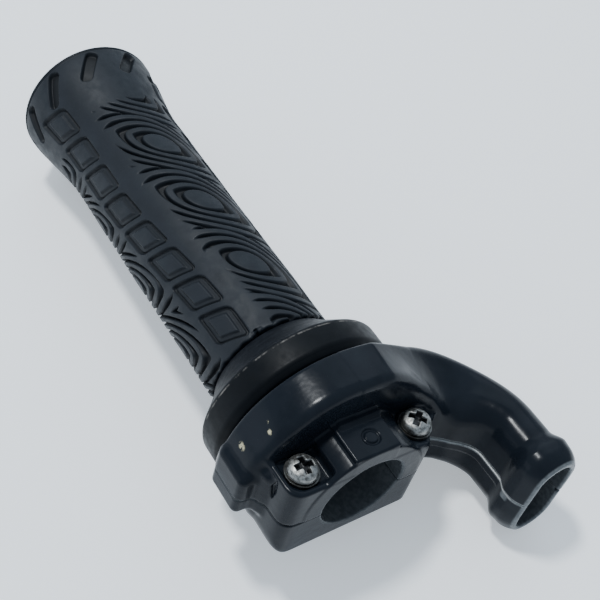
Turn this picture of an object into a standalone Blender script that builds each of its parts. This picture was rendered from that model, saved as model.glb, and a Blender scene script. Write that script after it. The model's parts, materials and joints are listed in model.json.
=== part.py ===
"""Motorcycle throttle grip: twist grip on its tube, in a split clamp housing with a cable elbow.

Run with: blender --background --python part.py
Units are metres. X runs along the handlebar, towards the middle of the motorcycle, and x = 0 is the
housing's inboard face. The handlebar's axis is the X axis. Y is the direction in which the cable
elbow leaves the housing, and Z points out of the seam between the housing halves, towards the
screw heads.
"""
import math

import bmesh
import bpy
from mathutils import Matrix, Vector

OBJECT = "throttle_grip"
GAP = 0.0003  # between pieces that touch on the real object

# Handlebar and split
BAR_RADIUS = 0.0111
CLAMP_BORE_RADIUS = BAR_RADIUS + 0.0001
SEAM_Z = -0.002

# Housing: the ring around the cable drum
RING_BACK_X = -0.0225
RING_FRONT_X = -0.0111
RING_RADIUS = 0.0265
RING_LOWER_RADIUS = 0.0249
FRONT_ROUNDING = 0.0023
BACK_ROUNDING = 0.0006
CAVITY_BACK_X = -0.0207
CAVITY_FRONT_X = -0.0130
CAVITY_RADIUS = 0.0226
TUBE_HOLE_RADIUS = 0.0133

# Housing: the clamp block
CLAMP_FACE_X = 0.0
CLAMP_LEFT_Y = -0.0222
CLAMP_RIGHT_Y = 0.0180
CLAMP_ROOT_Y = 0.0245  # right side of the block where it meets the ring
CLAMP_BOTTOM_Z = -0.0150
BOSS_TOP_Z = 0.0106
ARCH_RADIUS = 0.0163
PAD_TOP_Z = 0.0161
SCREW_X = -0.0060
SCREW_Y = 0.0162

# Clamp screws, M4 pan head
SHANK_RADIUS = 0.0020
SHANK_HOLE_RADIUS = 0.0024
SEAT_Z = 0.0096
WASHER_RADIUS = 0.0042
WASHER_THICKNESS = 0.0007
HEAD_RADIUS = 0.0040
HEAD_HEIGHT = 0.0026
SHANK_END_Z = -0.0095
INSERT_RADIUS = 0.0028
INSERT_BOTTOM_Z = -0.0100

# Dowels that line up the housing halves
DOWEL_RADIUS = 0.0011
DOWEL_REACH = 0.0040
DOWELS = {"ear": (-0.0172, -0.0251), "elbow": (-0.0096, 0.0207)}

# Cable elbow: a straight root, a quarter turn, and a straight mouth
ELBOW_X = (RING_BACK_X + RING_FRONT_X) / 2
BEND_RADIUS = 0.0200
BEND_START_Y = 0.0227
MOUTH_X = 0.0197
ELBOW_HALF_WIDTH = 0.0066
ELBOW_HALF_HEIGHT = 0.0136
WALL = 0.0022
SEAT_STEP_X = 0.0120
SEAT_FACE_X = 0.0150
SEAT_POCKET = (0.0053, 0.0127)  # half width and half height of the mouth's opening
CONDUIT_OFFSET_Z = 0.0062
ROOT_SLOPE_ABOVE = 0.52  # how fast the elbow gets lower as it leaves the ring
ROOT_SLOPE_BELOW = 0.45

# Twist side
TUBE_RADIUS = 0.0129
TUBE_BORE_RADIUS = BAR_RADIUS + 0.0004
TUBE_END_X = -0.1525
TUBE_START_X = -0.0136
DRUM_RADIUS = 0.0216
DRUM_GROOVE_RADIUS = 0.0185
GRIP_RADIUS = 0.0175
GRIP_FLARE_RADIUS = 0.0184
GRIP_INNER_X = -0.0412
GRIP_END_X = -0.1538
FLANGE_RADIUS = 0.0251
DRUM_BACK_X = -0.0194
DRUM_FRONT_X = -0.0143
DRUM_MIDDLE_X = (DRUM_BACK_X + DRUM_FRONT_X) / 2
DRUM_BORE_RADIUS = TUBE_RADIUS + GAP
STOP_LUG_ANGLE = math.radians(42)
STOP_LUG_RADIUS = 0.0238
PIN_RADIUS = 0.0010
PIN_ANGLES = {"a": math.radians(150), "b": math.radians(-30)}

ROUND = 48  # steps of a large turned piece
SMALL_ROUND = 24


def clear_scene():
    for obj in list(bpy.data.objects):
        bpy.data.objects.remove(obj)
    for collection in list(bpy.data.collections):
        bpy.data.collections.remove(collection)


def new_collection(name):
    collection = bpy.data.collections.new(name)
    bpy.context.scene.collection.children.link(collection)
    return collection


clear_scene()
PARTS = new_collection(OBJECT)
CUTTERS = new_collection("cutters")
CUTTERS.hide_render = True


def material(name, colour, roughness, metallic=0.0):
    made = bpy.data.materials.new(name)
    made.use_nodes = True
    shader = made.node_tree.nodes["Principled BSDF"]
    shader.inputs["Base Color"].default_value = (*colour, 1.0)
    shader.inputs["Roughness"].default_value = roughness
    shader.inputs["Metallic"].default_value = metallic
    return made


def add_object(name, mesh, finish=None):
    """A part when it has a finish, or else a cutter or guide, which is not rendered."""
    obj = bpy.data.objects.new(name, mesh)
    if finish:
        PARTS.objects.link(obj)
        mesh.materials.append(finish)
    else:
        CUTTERS.objects.link(obj)
        obj.hide_render = True
        obj.display_type = "WIRE"
    mesh.shade_smooth()
    mesh.set_sharp_from_angle(angle=math.radians(35))
    return obj


def mesh_of(name, shape):
    mesh = bpy.data.meshes.new(name)
    shape.to_mesh(mesh)
    shape.free()
    return mesh


def boolean(obj, operation, other):
    modifier = obj.modifiers.new(operation.lower(), "BOOLEAN")
    modifier.operation = operation
    modifier.object = other
    modifier.solver = "EXACT"


def turned(name, profile, finish=None, steps=ROUND, axis="X"):
    """Turn a closed profile of (along, radius) points, listed down the outer side first."""
    shape = bmesh.new()
    points = [shape.verts.new((radius, 0.0, along)) for along, radius in profile]
    for start, end in zip(points, points[1:] + points[:1]):
        shape.edges.new((start, end))
    obj = add_object(name, mesh_of(name, shape), finish)
    screw = obj.modifiers.new("turn", "SCREW")
    screw.axis = "Z"
    screw.steps = steps
    screw.render_steps = steps
    screw.use_merge_vertices = True
    screw.merge_threshold = 0.00001
    if axis == "X":
        obj.rotation_euler = (0.0, math.pi / 2, 0.0)
    return obj


def cylinder(name, radius, start, end, axis="X", finish=None, steps=SMALL_ROUND, at=(0.0, 0.0)):
    """A cylinder along an axis from start to end. at gives its other two coordinates."""
    shape = bmesh.new()
    bmesh.ops.create_cone(shape, cap_ends=True, segments=steps, radius1=radius, radius2=radius,
                          depth=end - start)
    middle = (start + end) / 2
    if axis == "X":
        turn = Matrix.Rotation(math.pi / 2, 4, "Y")
        place = Matrix.Translation((middle, at[0], at[1]))
    else:
        turn = Matrix.Identity(4)
        place = Matrix.Translation((at[0], at[1], middle))
    bmesh.ops.transform(shape, matrix=place @ turn, verts=shape.verts)
    return add_object(name, mesh_of(name, shape), finish)


def box_shape(low, high):
    shape = bmesh.new()
    bmesh.ops.create_cube(shape, size=1.0)
    low = Vector(low)
    high = Vector(high)
    size = high - low
    for vert in shape.verts:
        vert.co = Vector(low[i] + (vert.co[i] + 0.5) * size[i] for i in range(3))
    return shape


def box(name, low, high, bevel=0.0, segments=3, finish=None):
    obj = add_object(name, mesh_of(name, box_shape(low, high)), finish)
    if bevel:
        rounding = obj.modifiers.new("rounding", "BEVEL")
        rounding.width = bevel
        rounding.segments = segments
    return obj


# ---------------------------------------------------------------- the elbow's path and sections


def smooth(low, high, value):
    part = min(max((value - low) / (high - low), 0.0), 1.0)
    return part * part * (3 - 2 * part)


def elbow_station(distance):
    """Centre and outward side of the elbow, this far along its centre line from y = 0."""
    bend_length = BEND_RADIUS * math.pi / 2
    if distance <= BEND_START_Y:
        return Vector((ELBOW_X, distance, SEAM_Z)), Vector((-1, 0, 0))
    centre = Vector((ELBOW_X + BEND_RADIUS, BEND_START_Y, SEAM_Z))
    if distance <= BEND_START_Y + bend_length:
        angle = (distance - BEND_START_Y) / BEND_RADIUS
        side = Vector((-math.cos(angle), math.sin(angle), 0))
        return centre + side * BEND_RADIUS, side
    run = distance - BEND_START_Y - bend_length
    return centre + Vector((run, BEND_RADIUS, 0)), Vector((0, 1, 0))


def distance_at_x(x):
    """Distance along the centre line of a point on the straight mouth."""
    return BEND_START_Y + BEND_RADIUS * math.pi / 2 + x - (ELBOW_X + BEND_RADIUS)


ELBOW_END = distance_at_x(MOUTH_X)
COLLAR_START = distance_at_x(0.0095)
COLLAR_FULL = distance_at_x(0.0130)
LIP_START = distance_at_x(0.0186)


def root_height(y, radius, slope):
    """Just inside the ring, and then down the straight line that leaves the ring as a tangent."""
    tangent_y = radius * math.sin(math.atan(slope))
    tangent_z = math.sqrt(radius ** 2 - tangent_y ** 2)
    if y < tangent_y:
        return math.sqrt(radius ** 2 - y ** 2) - 0.0002
    return tangent_z - 0.0002 - slope * (y - tangent_y)


def elbow_size(distance):
    """Half width, half height above and below the seam, squareness and inward shift."""
    collar = 0.0010 * smooth(COLLAR_START, COLLAR_FULL, distance)
    lip = 0.0006 * smooth(LIP_START, ELBOW_END, distance)
    y = elbow_station(distance)[0].y
    half_width = 0.0055 + (ELBOW_HALF_WIDTH - 0.0055) * smooth(0.020, 0.034, distance)
    bulge = 0.0011 * math.sin(math.pi * min(max((distance - 0.022) / 0.026, 0.0), 1.0))
    top = soft_max(root_height(y, RING_RADIUS, ROOT_SLOPE_ABOVE) - SEAM_Z, ELBOW_HALF_HEIGHT)
    bottom = soft_max(root_height(y, RING_LOWER_RADIUS, ROOT_SLOPE_BELOW) + SEAM_Z, ELBOW_HALF_HEIGHT)
    square = 7.0 - 4.2 * smooth(0.016, 0.044, distance)
    grow = collar - lip
    return half_width + bulge + grow, top + grow, bottom + grow, square, bulge


def soft_max(a, b, blend=0.0016):
    return b + 0.5 * (a - b + math.hypot(a - b, blend))


def loft(name, stations, points=32, finish=None):
    """Skin rounded sections. A station is (centre, side, half width, top, bottom, squareness)."""
    shape = bmesh.new()
    rings = []
    for centre, side, width, top, bottom, square in stations:
        ring = []
        for index in range(points):
            angle = 2 * math.pi * index / points
            across = math.copysign(abs(math.cos(angle)) ** (2 / square), math.cos(angle))
            up = math.copysign(abs(math.sin(angle)) ** (2 / square), math.sin(angle))
            height = top if up > 0 else bottom
            ring.append(shape.verts.new(centre + side * (across * width) + Vector((0, 0, up * height))))
        rings.append(ring)
    for ring, after in zip(rings, rings[1:]):
        for index in range(points):
            following = (index + 1) % points
            shape.faces.new((ring[index], ring[following], after[following], after[index]))
    shape.faces.new(list(reversed(rings[0])))
    shape.faces.new(rings[-1])
    bmesh.ops.recalc_face_normals(shape, faces=shape.faces)
    return add_object(name, mesh_of(name, shape), finish)


def spread(start, end, count):
    return [start + (end - start) * index / (count - 1) for index in range(count)]


def elbow_outside(name):
    stations = []
    for distance in spread(0.0, 0.020, 6)[:-1] + spread(0.020, COLLAR_START, 13) + [
            (COLLAR_START + COLLAR_FULL) / 2, COLLAR_FULL, LIP_START,
            (LIP_START + ELBOW_END) / 2, ELBOW_END]:
        centre, side = elbow_station(distance)
        width, top, bottom, square, shift = elbow_size(distance)
        stations.append((centre - side * shift, side, width, top, bottom, square))
    return loft(name, stations)


def elbow_inside(name):
    """The passage for the cables, from the drum's cavity to the step for the ferrule seat."""
    stations = []
    for distance in spread(0.004, 0.020, 4)[:-1] + spread(0.020, distance_at_x(SEAT_STEP_X), 14):
        centre, side = elbow_station(distance)
        width, top, bottom, square, shift = elbow_size(min(distance, COLLAR_START))
        inner = width - WALL
        stations.append((centre - side * shift, side, inner, top - WALL, bottom - WALL, square))
    return loft(name, stations, points=24)


def mouth_pocket(name):
    half_width, half_height = SEAT_POCKET
    stations = []
    for x in (SEAT_STEP_X - 0.0001, MOUTH_X + 0.001):
        centre, side = elbow_station(distance_at_x(x))
        stations.append((centre, side, half_width, half_height, half_height, 3.2))
    return loft(name, stations, points=24)


# ---------------------------------------------------------------- housing


def clamp_block(name):
    shape = box_shape((RING_FRONT_X - 0.0012, CLAMP_LEFT_Y, CLAMP_BOTTOM_Z),
                      (CLAMP_FACE_X, CLAMP_RIGHT_Y, BOSS_TOP_Z))
    for vert in shape.verts:
        if vert.co.y > 0 and vert.co.x < CLAMP_FACE_X - 0.001:
            vert.co.y = CLAMP_ROOT_Y

    def corner_edges(test):
        return [edge for edge in shape.edges if all(test(vert.co) for vert in edge.verts)]

    lower_left = corner_edges(lambda p: p.y < CLAMP_LEFT_Y + 1e-5 and p.z < 0)
    bmesh.ops.bevel(shape, geom=lower_left, offset=0.0062, segments=6, profile=0.5, affect="EDGES")
    front_left = corner_edges(lambda p: p.x > CLAMP_FACE_X - 1e-5 and p.y < CLAMP_LEFT_Y + 1e-5)
    bmesh.ops.bevel(shape, geom=front_left, offset=0.0050, segments=6, profile=0.5, affect="EDGES")
    return add_object(name, mesh_of(name, shape))


def rounded_disc(name, radius, inset):
    """The drum ring's outside: a disc with rounded edges and a small hole in the middle."""
    front = RING_FRONT_X - inset
    back = RING_BACK_X + inset
    profile = []
    for index in range(6):
        angle = math.pi / 2 * index / 5
        profile.append((front - FRONT_ROUNDING * (1 - math.cos(angle)),
                        radius - FRONT_ROUNDING * (1 - math.sin(angle))))
    for index in range(4):
        angle = math.pi / 2 * index / 3
        profile.append((back + BACK_ROUNDING * (1 - math.sin(angle)),
                        radius - BACK_ROUNDING * (1 - math.cos(angle))))
    profile += [(back, 0.004 + inset), (front, 0.004 + inset)]
    return turned(name, profile, steps=72)


def drum_ring(blank):
    """The ring is larger above the seam, so a smaller whole disc takes an upper half of its own."""
    upper = rounded_disc("ring_above", RING_RADIUS, 0.0)
    boolean(upper, "INTERSECT", box("ring_keep", (-0.05, -0.04, SEAM_Z), (0.02, 0.04, 0.04)))
    boolean(blank, "UNION", upper)
    boolean(blank, "UNION", rounded_disc("ring_below", RING_LOWER_RADIUS, 0.00005))


def housing_blank():
    """The closed housing, both halves in one, before it is split at the seam."""
    blank = clamp_block("housing_blank")
    drum_ring(blank)
    boolean(blank, "UNION", cylinder("arch", ARCH_RADIUS, RING_FRONT_X - 0.0013,
                                     CLAMP_FACE_X - 0.00005, steps=64))
    boolean(blank, "UNION", box("pad", (RING_FRONT_X - 0.0011, -0.0067, 0.0100),
                                (CLAMP_FACE_X - 0.0001, 0.0060, PAD_TOP_Z), 0.0004, 2))
    boolean(blank, "UNION", box("pad_rib", (-0.0110, -0.0055, 0.0140),
                                (-0.0085, 0.0065, PAD_TOP_Z + 0.0008), 0.0006, 2))
    boolean(blank, "UNION", box("ear", (-0.0222, -0.0278, -0.0078),
                                (-0.0120, -0.0215, 0.0062), 0.0009, 3))
    boolean(blank, "UNION", elbow_outside("elbow_outside"))

    boolean(blank, "DIFFERENCE", cylinder("clamp_bore", CLAMP_BORE_RADIUS, CAVITY_FRONT_X - 0.001,
                                          0.002, steps=ROUND))
    boolean(blank, "DIFFERENCE", cylinder("drum_cavity", CAVITY_RADIUS, CAVITY_BACK_X,
                                          CAVITY_FRONT_X, steps=ROUND))
    boolean(blank, "DIFFERENCE", cylinder("tube_hole", TUBE_HOLE_RADIUS, RING_BACK_X - 0.001,
                                          CAVITY_BACK_X + 0.001, steps=ROUND))
    boolean(blank, "DIFFERENCE", elbow_inside("elbow_inside"))
    boolean(blank, "DIFFERENCE", mouth_pocket("mouth_pocket"))
    for side, label in ((-1, "left"), (1, "right")):
        place = (SCREW_X, side * SCREW_Y)
        boolean(blank, "DIFFERENCE", cylinder("shank_hole_" + label, SHANK_HOLE_RADIUS,
                                              INSERT_BOTTOM_Z - 0.0012, 0.02, "Z", at=place))
        boolean(blank, "DIFFERENCE", cylinder("counterbore_" + label, WASHER_RADIUS + 0.0004,
                                              SEAT_Z, 0.02, "Z", at=place))
        boolean(blank, "DIFFERENCE", cylinder("insert_pocket_" + label, INSERT_RADIUS + GAP,
                                              INSERT_BOTTOM_Z - GAP, SEAM_Z + 0.0001, "Z", at=place))
    for label, place in DOWELS.items():
        boolean(blank, "DIFFERENCE", cylinder("dowel_hole_" + label, DOWEL_RADIUS + GAP,
                                              SEAM_Z - DOWEL_REACH - GAP, SEAM_Z + DOWEL_REACH + GAP,
                                              "Z", at=place, steps=20))
    return blank


def housing(finish):
    blank = housing_blank()
    split = GAP / 2
    upper = box("housing_upper", (-0.04, -0.04, SEAM_Z + split), (0.03, 0.07, 0.04), finish=finish)
    boolean(upper, "INTERSECT", blank)
    lower = box("housing_lower", (-0.04, -0.04, -0.04), (0.03, 0.07, SEAM_Z - split), finish=finish)
    boolean(lower, "INTERSECT", blank)


# ---------------------------------------------------------------- fasteners and cable guides


def clamp_screw(label, side, turn, finish):
    """Pan head screw with a cross recess, head towards +Z."""
    base = SEAT_Z + GAP + WASHER_THICKNESS + GAP
    top = base + HEAD_HEIGHT
    profile = [(top, 0.0004)]
    for index in range(1, 8):
        angle = math.pi / 2 * index / 7
        radius = HEAD_RADIUS * math.sin(angle) ** 0.8
        profile.append((base + 0.0006 + (HEAD_HEIGHT - 0.0006) * math.cos(angle) ** 0.75, radius))
    profile += [(base, HEAD_RADIUS - 0.0002), (base, SHANK_RADIUS),
                (SHANK_END_Z + 0.0008, SHANK_RADIUS), (SHANK_END_Z, SHANK_RADIUS - 0.0008),
                (SHANK_END_Z, 0.0004)]
    screw = turned("clamp_screw_" + label, profile, finish, SMALL_ROUND, axis="Z")
    screw.location = (SCREW_X, side * SCREW_Y, 0.0)
    core = cylinder("screw_core_" + label, 0.0006, SHANK_END_Z, top, "Z", at=(SCREW_X, side * SCREW_Y))
    boolean(screw, "UNION", core)
    for quarter in (0, 1):
        slot = box("recess_%s_%d" % (label, quarter), (-0.0022, -0.00045, top - 0.0014),
                   (0.0022, 0.00045, top + 0.001))
        slot.location = (SCREW_X, side * SCREW_Y, 0.0)
        slot.rotation_euler = (0.0, 0.0, turn + quarter * math.pi / 2)
        boolean(screw, "DIFFERENCE", slot)


def ring_piece(name, finish, outer, inner, start, end, axis="X", at=None, steps=ROUND, chamfer=0.0):
    """A plain ring between two places on its axis."""
    profile = [(end, outer - chamfer), (end - chamfer, outer), (start + chamfer, outer),
               (start, outer - chamfer), (start, inner), (end, inner)]
    if not chamfer:
        profile = [(end, outer), (start, outer), (start, inner), (end, inner)]
    obj = turned(name, profile, finish, steps, axis)
    if at:
        obj.location = (at[0], at[1], 0.0)
    return obj


def fasteners(steel, brass):
    for label, side, turn in (("left", -1, math.radians(-5)), ("right", 1, math.radians(40))):
        clamp_screw(label, side, turn, steel)
        place = (SCREW_X, side * SCREW_Y)
        ring_piece("screw_washer_" + label, steel, WASHER_RADIUS, SHANK_HOLE_RADIUS,
                   SEAT_Z + GAP, SEAT_Z + GAP + WASHER_THICKNESS, "Z", place, SMALL_ROUND)
        ring_piece("thread_insert_" + label, brass, INSERT_RADIUS, SHANK_RADIUS + GAP,
                   INSERT_BOTTOM_Z, SEAM_Z - 0.0006, "Z", place, SMALL_ROUND, 0.0004)
    for label, place in DOWELS.items():
        cylinder("locating_dowel_" + label, DOWEL_RADIUS, SEAM_Z - DOWEL_REACH,
                 SEAM_Z + DOWEL_REACH, "Z", steel, 20, place)


def cable_guides(nylon, black):
    """A conduit for each of the two cables, and the seat that holds their ferrules."""
    start = 0.0275
    end = distance_at_x(SEAT_STEP_X - 0.0004)
    for label, height in (("open", CONDUIT_OFFSET_Z), ("close", -CONDUIT_OFFSET_Z)):
        offset = Vector((0, 0, height))
        shells = []
        for name, radius, extra in (("cable_conduit_" + label, 0.0033, 0.0),
                                    ("conduit_bore_" + label, 0.0024, 0.001)):
            stations = []
            for distance in spread(start - extra, end + extra, 10):
                centre, side = elbow_station(distance)
                stations.append((centre + offset, side, radius, radius, radius, 2.0))
            finish = nylon if not extra else None
            shells.append(loft(name, stations, 12, finish))
        boolean(shells[0], "DIFFERENCE", shells[1])

    half_width, half_height = SEAT_POCKET
    stations = []
    for x in (SEAT_STEP_X + GAP, SEAT_FACE_X):
        centre, side = elbow_station(distance_at_x(x))
        stations.append((centre, side, half_width - GAP, half_height - GAP, half_height - GAP, 3.2))
    seat = loft("ferrule_seat", stations, 24, black)
    for label, height in (("open", CONDUIT_OFFSET_Z), ("close", -CONDUIT_OFFSET_Z)):
        centre = elbow_station(distance_at_x(MOUTH_X))[0]
        hole = cylinder("ferrule_hole_" + label, 0.0031, SEAT_STEP_X - 0.001, MOUTH_X + 0.001,
                        at=(centre.y, SEAM_Z + height), steps=24)
        boolean(seat, "DIFFERENCE", hole)


# ---------------------------------------------------------------- twist side


def radial_cylinder(name, radius, inner, outer, x, angle, finish=None, steps=16):
    """A pin or hole that points away from the handlebar's axis."""
    obj = cylinder(name, radius, inner, outer, "Z", finish, steps)
    obj.rotation_euler = (angle - math.pi / 2, 0.0, 0.0)
    obj.location = (x, 0.0, 0.0)
    return obj


def throttle_tube(finish):
    tube = ring_piece("throttle_tube", finish, TUBE_RADIUS, TUBE_BORE_RADIUS, TUBE_END_X,
                      TUBE_START_X, chamfer=0.0004)
    for label, angle in PIN_ANGLES.items():
        boolean(tube, "DIFFERENCE", radial_cylinder("tube_pin_hole_" + label, PIN_RADIUS + GAP,
                                                    0.0105, 0.0140, DRUM_MIDDLE_X, angle))


def cable_drum(finish):
    """Drum with the cable groove, two nipple pockets and the lug that stops the twist."""
    rim = 0.0011
    profile = [(DRUM_FRONT_X, DRUM_RADIUS), (DRUM_FRONT_X - rim, DRUM_RADIUS),
               (DRUM_FRONT_X - rim - 0.0005, DRUM_GROOVE_RADIUS),
               (DRUM_BACK_X + rim + 0.0005, DRUM_GROOVE_RADIUS),
               (DRUM_BACK_X + rim, DRUM_RADIUS), (DRUM_BACK_X, DRUM_RADIUS),
               (DRUM_BACK_X, DRUM_BORE_RADIUS), (DRUM_FRONT_X, DRUM_BORE_RADIUS)]
    drum = turned("cable_drum", profile, finish)
    lug = box("stop_lug", (DRUM_BACK_X + 0.0009, -0.0015, 0.0170),
              (DRUM_FRONT_X - 0.0009, 0.0015, STOP_LUG_RADIUS), 0.0004, 2)
    lug.rotation_euler = (STOP_LUG_ANGLE - math.pi / 2, 0.0, 0.0)
    boolean(drum, "UNION", lug)
    for label, angle in (("open", math.radians(205)), ("close", math.radians(240))):
        place = (0.0176 * math.cos(angle), 0.0176 * math.sin(angle))
        boolean(drum, "DIFFERENCE", cylinder("nipple_pocket_" + label, 0.0026, DRUM_BACK_X + 0.0012,
                                             DRUM_FRONT_X + 0.001, at=place, steps=20))
    for label, angle in PIN_ANGLES.items():
        boolean(drum, "DIFFERENCE", radial_cylinder("drum_pin_hole_" + label, PIN_RADIUS + GAP,
                                                    0.0125, 0.0195, DRUM_MIDDLE_X, angle))


def drum_pins(finish):
    for label, angle in PIN_ANGLES.items():
        radial_cylinder("drum_pin_" + label, PIN_RADIUS, 0.0119, 0.0182, DRUM_MIDDLE_X, angle, finish)


def dust_collar(finish):
    """Conical collar and thick flange that cover the gap beside the housing, hollow inside."""
    profile = [(-0.0234, FLANGE_RADIUS - 0.0012), (-0.0240, FLANGE_RADIUS - 0.0004),
               (-0.0250, FLANGE_RADIUS), (-0.0309, FLANGE_RADIUS), (-0.0318, FLANGE_RADIUS - 0.0003),
               (-0.0324, FLANGE_RADIUS - 0.0010), (-0.0362, 0.0212), (-0.0396, 0.0181),
               (-0.0408, 0.0172), (-0.0408, TUBE_RADIUS + GAP), (-0.0345, TUBE_RADIUS + GAP),
               (-0.0330, 0.0165), (-0.0290, 0.0225), (-0.0234, 0.0228)]
    turned("dust_collar", profile, finish)


def grip_sleeve(finish):
    profile = [(GRIP_INNER_X, GRIP_RADIUS - 0.0004), (GRIP_INNER_X - 0.0004, GRIP_RADIUS),
               (-0.1380, GRIP_RADIUS), (-0.1450, GRIP_RADIUS + 0.0003),
               (-0.1500, GRIP_FLARE_RADIUS - 0.0002), (-0.1530, GRIP_FLARE_RADIUS),
               (GRIP_END_X, GRIP_FLARE_RADIUS - 0.0004), (GRIP_END_X, TUBE_RADIUS + GAP),
               (GRIP_INNER_X, TUBE_RADIUS + GAP)]
    turned("grip_sleeve", profile, finish, 64)


def grip_end(rubber, black):
    """Ring that finishes the sleeve's outer end, and the plug in the tube's end."""
    start = GRIP_END_X - GAP
    profile = [(start, 0.0180), (start - 0.0007, 0.0182), (start - 0.0014, 0.0177),
               (start - 0.0014, 0.0136), (start, 0.0136)]
    turned("end_ring", profile, rubber, 64)
    spigot_end = TUBE_END_X + 0.0045
    head = TUBE_END_X - GAP
    profile = [(spigot_end, 0.0104), (spigot_end - 0.0005, 0.0111), (head, 0.0111), (head, 0.0131),
               (start - 0.0010, 0.0131), (start - 0.0016, 0.0122), (start - 0.0016, 0.0008)]
    turned("tube_end_plug", profile + [(spigot_end, 0.0008)], black)
    core = cylinder("plug_core", 0.0010, start - 0.0016, spigot_end)
    boolean(bpy.data.objects["tube_end_plug"], "UNION", core)


def main():
    cast_black = material("cast_black", (0.018, 0.022, 0.028), 0.25)
    steel = material("worn_steel", (0.42, 0.43, 0.42), 0.42, 1.0)
    brass = material("brass", (0.55, 0.42, 0.20), 0.40, 1.0)
    nylon = material("natural_nylon", (0.60, 0.58, 0.52), 0.50)
    matt_black = material("matt_black_plastic", (0.020, 0.022, 0.025), 0.55)
    rubber = material("grip_rubber", (0.035, 0.043, 0.050), 0.75)
    aluminium = material("drum_aluminium", (0.60, 0.61, 0.62), 0.40, 1.0)

    housing(cast_black)
    fasteners(steel, brass)
    cable_guides(nylon, matt_black)
    ring_piece("thrust_washer_outer", nylon, 0.0205, TUBE_RADIUS + 0.0006, -0.0204, -0.0197)
    ring_piece("thrust_washer_inner", nylon, 0.0205, TUBE_RADIUS + 0.0006, -0.0140, -0.0133)

    throttle_tube(matt_black)
    cable_drum(aluminium)
    drum_pins(steel)
    dust_collar(matt_black)
    grip_sleeve(rubber)
    grip_end(rubber, matt_black)


main()
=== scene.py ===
"""Looks of the throttle grip: painted housing, worn screws and moulded rubber on the CAD frame."""
import json
import math

import bmesh
import bpy
import numpy as np
import openvdb
from mathutils import Matrix, Vector

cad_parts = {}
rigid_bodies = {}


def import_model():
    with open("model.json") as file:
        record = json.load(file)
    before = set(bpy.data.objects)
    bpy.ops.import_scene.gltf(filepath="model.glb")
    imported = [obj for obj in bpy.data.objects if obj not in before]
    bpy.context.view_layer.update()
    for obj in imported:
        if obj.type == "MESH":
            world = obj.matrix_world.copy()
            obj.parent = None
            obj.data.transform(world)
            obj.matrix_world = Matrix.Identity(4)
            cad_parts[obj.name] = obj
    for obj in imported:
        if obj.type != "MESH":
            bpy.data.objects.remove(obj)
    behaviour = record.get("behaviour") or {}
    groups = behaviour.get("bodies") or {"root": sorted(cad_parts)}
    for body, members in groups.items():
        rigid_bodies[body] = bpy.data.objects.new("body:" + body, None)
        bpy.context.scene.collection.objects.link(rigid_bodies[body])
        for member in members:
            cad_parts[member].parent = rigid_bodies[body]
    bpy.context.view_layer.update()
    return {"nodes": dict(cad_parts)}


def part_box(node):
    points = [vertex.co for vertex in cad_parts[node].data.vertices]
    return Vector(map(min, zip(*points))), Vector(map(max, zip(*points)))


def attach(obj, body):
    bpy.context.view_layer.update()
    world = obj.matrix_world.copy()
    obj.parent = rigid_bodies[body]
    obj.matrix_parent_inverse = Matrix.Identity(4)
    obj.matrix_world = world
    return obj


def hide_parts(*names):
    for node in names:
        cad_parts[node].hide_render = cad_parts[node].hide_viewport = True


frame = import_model()

MM = 0.001

# ------------------------------------------------------------------ places, in millimetres


def node_box(name):
    """Lowest and highest corner of a CAD node, in millimetres."""
    low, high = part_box(name)
    return np.array(low) / MM, np.array(high) / MM


HOUSING_LOW, HOUSING_HIGH = node_box("housing_upper")
LOWER_LOW, LOWER_HIGH = node_box("housing_lower")
COLLAR_LOW, COLLAR_HIGH = node_box("dust_collar")
SLEEVE_LOW, SLEEVE_HIGH = node_box("grip_sleeve")
RING_LOW, RING_HIGH = node_box("end_ring")
PLUG_LOW, PLUG_HIGH = node_box("tube_end_plug")
TUBE_BACK = node_box("throttle_tube")[0][0]
SCREW_LOW, SCREW_HIGH = node_box("clamp_screw_left")

SEAM_Z = (HOUSING_LOW[2] + LOWER_HIGH[2]) / 2
MOUTH_X = HOUSING_HIGH[0]
RING_BACK = HOUSING_LOW[0]
RING_FRONT = -11.1
RING_RADIUS = HOUSING_HIGH[2]
RING_LOWER_RADIUS = -LOWER_LOW[2]
SCREW_X = (SCREW_LOW[0] + SCREW_HIGH[0]) / 2
SCREW_Y = -(SCREW_LOW[1] + SCREW_HIGH[1]) / 2
HEAD_TOP = SCREW_HIGH[2]
BORE_RADIUS = 11.2
TUBE_HOLE_RADIUS = 13.3
CAVITY_RADIUS = 22.6
CAVITY_BACK = -20.7
CAVITY_FRONT = -13.0
SHANK_HOLE_RADIUS = 2.4
CLAMP_LEFT = -22.2
CLAMP_RIGHT = 18.0
CLAMP_BOTTOM = -15.0
CLAMP_TOP = 10.7
SCREW_SEAT = 9.6
HEAD_RADIUS = 4.0
HEAD_HEIGHT = 2.6
RECESS_DEPTH = 2.2
WALL = 2.2
BEND_START = 22.7
BEND_RADIUS = 20.0
ELBOW_X = (RING_BACK + RING_FRONT) / 2
BEND_LENGTH = BEND_RADIUS * math.pi / 2
ELBOW_END = BEND_START + BEND_LENGTH + MOUTH_X - (ELBOW_X + BEND_RADIUS)
ELBOW_COLLAR = ELBOW_END - 10.4  # where the thicker end of the elbow begins

# ------------------------------------------------------------------ distance fields


def smooth_step(low, high, value):
    part = np.clip((value - low) / (high - low), 0.0, 1.0)
    return part * part * (3 - 2 * part)


def union(a, b, blend=0.0):
    if not blend:
        return np.minimum(a, b)
    share = np.clip(0.5 + 0.5 * (b - a) / blend, 0.0, 1.0)
    return b + (a - b) * share - blend * share * (1 - share)


def meet(a, b, blend=0.0):
    return -union(-a, -b, blend)


def cut(a, b, blend=0.0):
    return meet(a, -b, blend)


def soft_max(a, b, blend):
    return b + 0.5 * (a - b + np.hypot(a - b, blend))


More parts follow.
